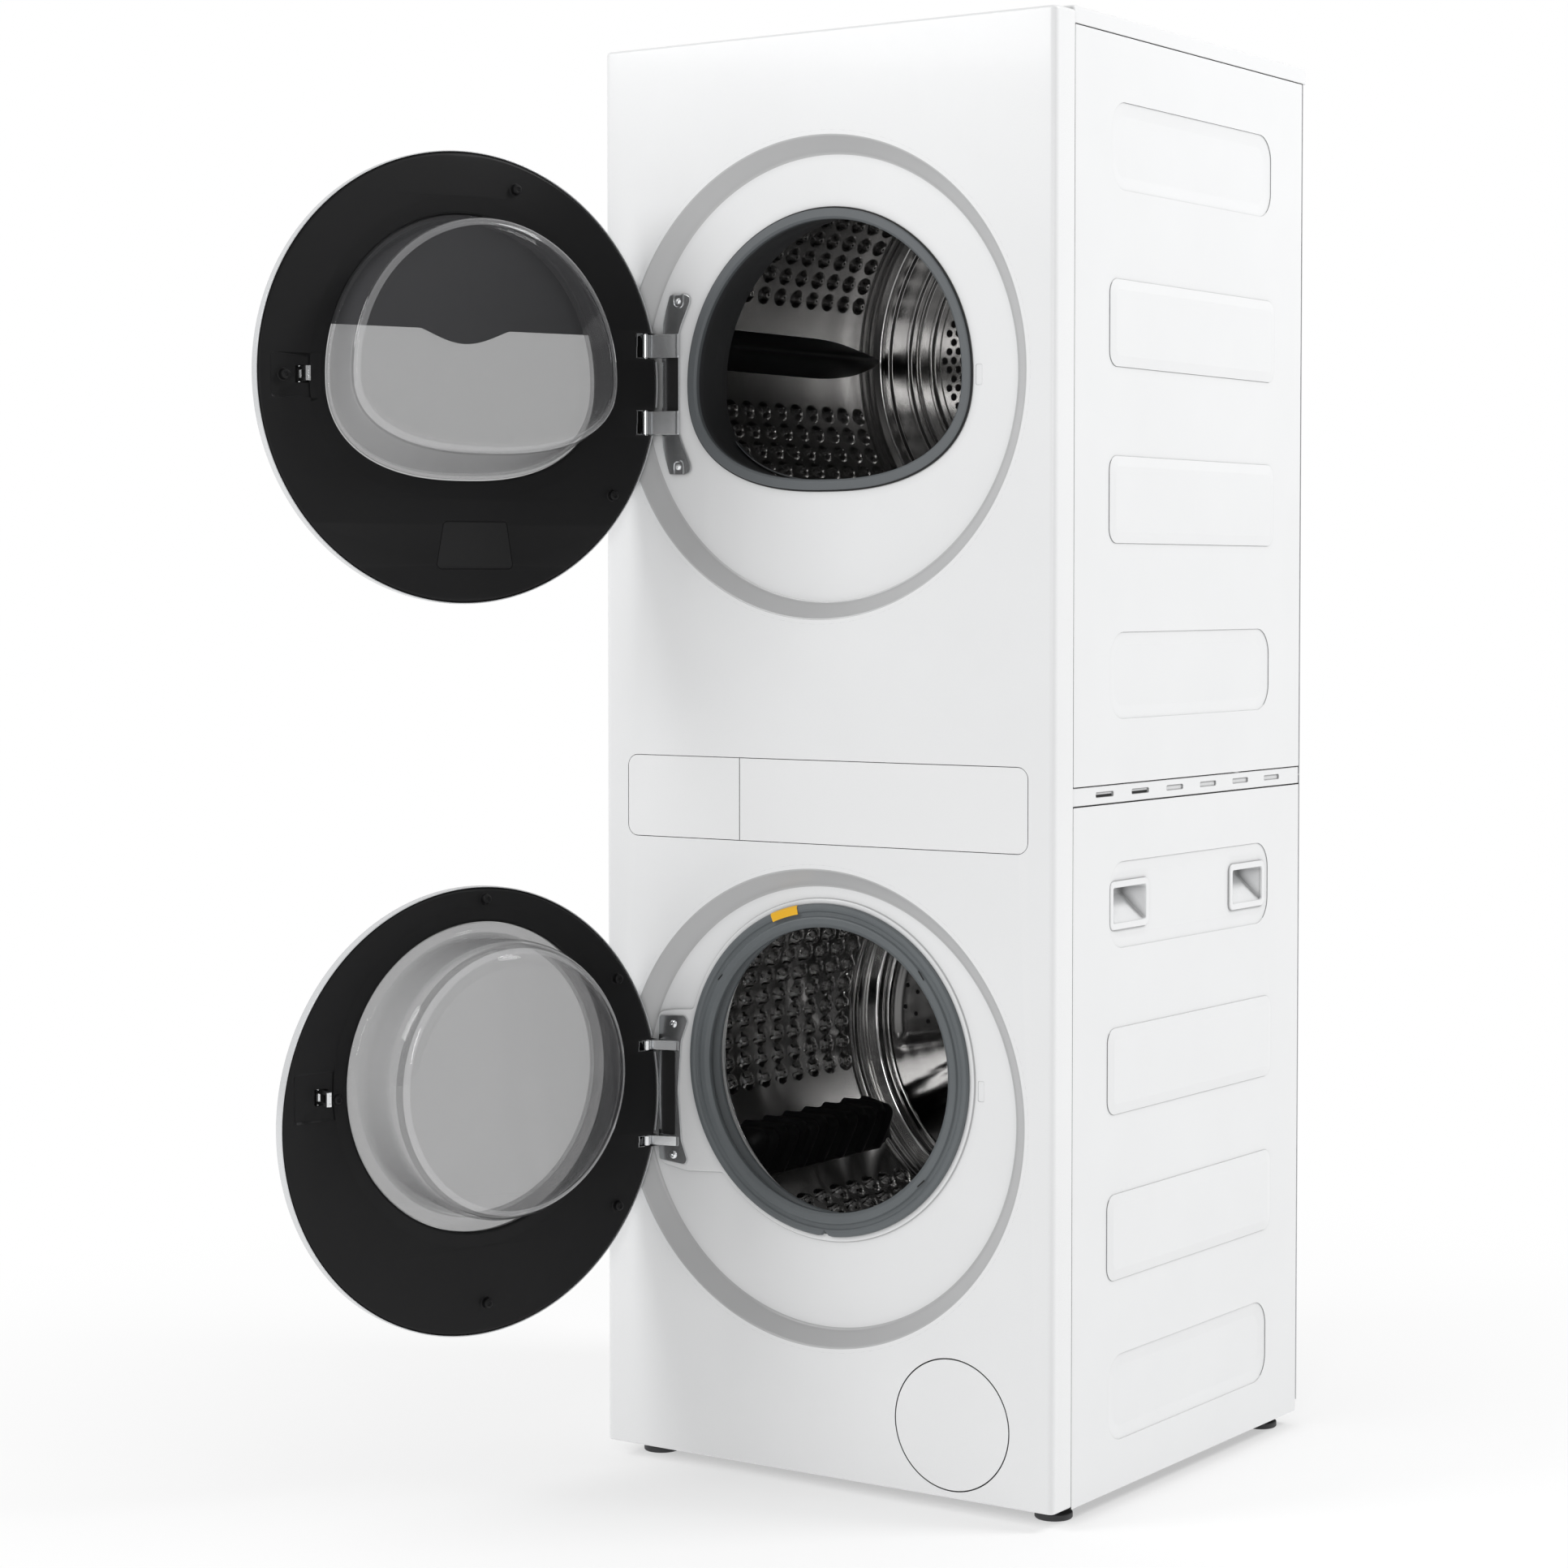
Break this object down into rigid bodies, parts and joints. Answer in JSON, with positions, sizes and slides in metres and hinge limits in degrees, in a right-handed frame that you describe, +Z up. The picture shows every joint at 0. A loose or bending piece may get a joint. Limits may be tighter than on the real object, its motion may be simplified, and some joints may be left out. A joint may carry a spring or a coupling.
{
  "type": "washer dryer stack",
  "caption": "Full-height laundry tower: front-loading washer below, tumble dryer above in one cabinet, both round doors hinged at the left.",
  "frame": {"origin": "centre of the cabinet's footprint, on the floor", "axes": "+X to the right seen from the front, +Y to the back, +Z up"},
  "size_m": [0.7422, 1.0767, 1.641],
  "materials": {
    "white_casing": "glossy",
    "white_enamel": "satin enamel",
    "zinc_steel": "galvanised",
    "dark_base": "matte",
    "light_plastic": "moulded",
    "circuit_box": "matte",
    "dark_plastic": "matte",
    "grey_rim": "fine moulded",
    "grey_rubber": "satin rubber",
    "black_rubber": "matte",
    "concrete_grey": "cast",
    "damper_steel": "satin",
    "copper_winding": "wound",
    "bright_stainless": "polished",
    "dark_stainless": "polished",
    "cast_spider": "cast",
    "black_plastic": "satin moulded",
    "hinge_zinc": "plated",
    "door_frame": "silver-white gloss",
    "smoked_bowl": "smoked",
    "dark_glass": "smoked"
  },
  "bodies": {
    "cabinet": {"front_casing": "white_casing", "upper_side_panels": "white_enamel", "lower_side_panels": "white_enamel", "middle_strips": "white_enamel", "top_lid": "white_enamel", "back_panels": "zinc_steel", "base_tray": "dark_base", "dryer_deck": "zinc_steel", "levelling_feet": "dark_base", "hand_grips": "light_plastic", "control_fascia": "white_casing", "control_board": "circuit_box", "drawer_housing": "light_plastic", "drain_pump": "light_plastic", "washer_tub": "light_plastic", "door_gasket": "grey_rubber", "tub_counterweight": "concrete_grey", "suspension_springs": "zinc_steel", "tub_dampers": "damper_steel", "wash_heater": "damper_steel", "motor_stator": "copper_winding", "inlet_valves": "light_plastic", "dispenser_hose": "black_rubber", "dryer_front_bulkhead": "zinc_steel", "dryer_mouth_collar": "grey_rim", "dryer_rear_bulkhead": "zinc_steel", "dryer_motor": "damper_steel", "drum_belt": "black_rubber", "blower_housing": "light_plastic", "exhaust_duct": "zinc_steel", "air_heater": "damper_steel", "hinge_brackets": "hinge_zinc", "hinge_screws": "zinc_steel", "door_locks": "light_plastic"},
    "dryer_door": {"dryer_door_shell": "door_frame", "dryer_door_glass": "dark_glass", "dryer_door_liner": "black_plastic", "dryer_door_bowl": "smoked_bowl", "dryer_hinge_pin": "hinge_zinc"},
    "dryer_latch": {"dryer_latch_hook": "hinge_zinc"},
    "washer_door": {"washer_door_shell": "door_frame", "washer_door_glass": "dark_glass", "washer_door_liner": "black_plastic", "washer_door_bowl": "smoked_bowl", "washer_hinge_pin": "hinge_zinc"},
    "washer_latch": {"washer_latch_hook": "hinge_zinc"},
    "wash_drum": {"washer_drum": "bright_stainless", "washer_lifters": "black_plastic", "drum_spider_shaft": "cast_spider", "motor_rotor": "damper_steel"},
    "dry_drum": {"dryer_drum": "dark_stainless", "dryer_lifters": "black_plastic", "dryer_drum_axle": "damper_steel"},
    "roller_left": {"drum_roller_left": "dark_plastic"},
    "roller_right": {"drum_roller_right": "dark_plastic"},
    "motor_spindle": {"motor_shaft_and_fan": "cast_spider"},
    "drawer": {"detergent_drawer": "white_casing"},
    "filter_flap": {"drain_filter_cover": "white_casing"},
    "pump_knob": {"pump_filter_knob": "dark_plastic"},
    "lint_tray": {"lint_filter": "dark_plastic"}
  },
  "joints": [
    {"name": "dryer_door_swing", "type": "hinge", "parent": "cabinet", "child": "dryer_door", "pos_m": [-0.243, -0.299, 1.251], "axis": [0, 0, 1], "range_deg": [-5, 112.6]},
    {"name": "washer_door_swing", "type": "hinge", "parent": "cabinet", "child": "washer_door", "pos_m": [-0.243, -0.299, 0.434], "axis": [0, 0, 1], "range_deg": [-5, 107]},
    {"name": "dryer_latch_snap", "type": "hinge", "parent": "dryer_door", "child": "dryer_latch", "pos_m": [-0.41148, -0.70113, 1.249], "axis": [0, 0, 1], "range_deg": [0, 6], "stiffness_Nm_per_rad": 0.6, "springref_deg": -8.59},
    {"name": "washer_latch_snap", "type": "hinge", "parent": "washer_door", "child": "washer_latch", "pos_m": [-0.37275, -0.71996, 0.468], "axis": [0, 0, 1], "range_deg": [0, 6], "stiffness_Nm_per_rad": 0.6, "springref_deg": -8.59},
    {"name": "washer_drum_spin", "type": "hinge", "parent": "cabinet", "child": "wash_drum", "pos_m": [-0.002, 0, 0.476], "axis": [0, 1, 0], "continuous": true},
    {"name": "dryer_drum_spin", "type": "hinge", "parent": "cabinet", "child": "dry_drum", "pos_m": [-0.004, 0, 1.303], "axis": [0, 1, 0], "continuous": true},
    {"name": "roller_left_spin", "type": "hinge", "parent": "cabinet", "child": "roller_left", "pos_m": [-0.17338, -0.195, 1.0611], "axis": [0, 1, 0], "continuous": true},
    {"name": "roller_right_spin", "type": "hinge", "parent": "cabinet", "child": "roller_right", "pos_m": [0.16538, -0.195, 1.0611], "axis": [0, 1, 0], "continuous": true},
    {"name": "motor_spin", "type": "hinge", "parent": "cabinet", "child": "motor_spindle", "pos_m": [0.15, 0, 0.887], "axis": [0, 1, 0], "continuous": true},
    {"name": "drawer_slide", "type": "slide", "parent": "cabinet", "child": "drawer", "axis": [0, -1, 0], "range_m": [0, 0.2]},
    {"name": "filter_cover_swing", "type": "hinge", "parent": "cabinet", "child": "filter_flap", "pos_m": [0.0997, -0.3005, 0.101], "axis": [0, 0, -1], "range_deg": [0, 100]},
    {"name": "pump_knob_turn", "type": "hinge", "parent": "cabinet", "child": "pump_knob", "pos_m": [0.1727, -0.28, 0.101], "axis": [0, -1, 0], "range_deg": [0, 180]},
    {"name": "lint_filter_lift", "type": "slide", "parent": "cabinet", "child": "lint_tray", "axis": [0, 0, 1], "range_m": [0, 0.13]}
  ],
  "couplings": [
    {"joint": "roller_left_spin", "follows": "dryer_drum_spin", "ratio": -10.8},
    {"joint": "roller_right_spin", "follows": "dryer_drum_spin", "ratio": -10.8},
    {"joint": "motor_spin", "follows": "dryer_drum_spin", "ratio": 28.766}
  ]
}
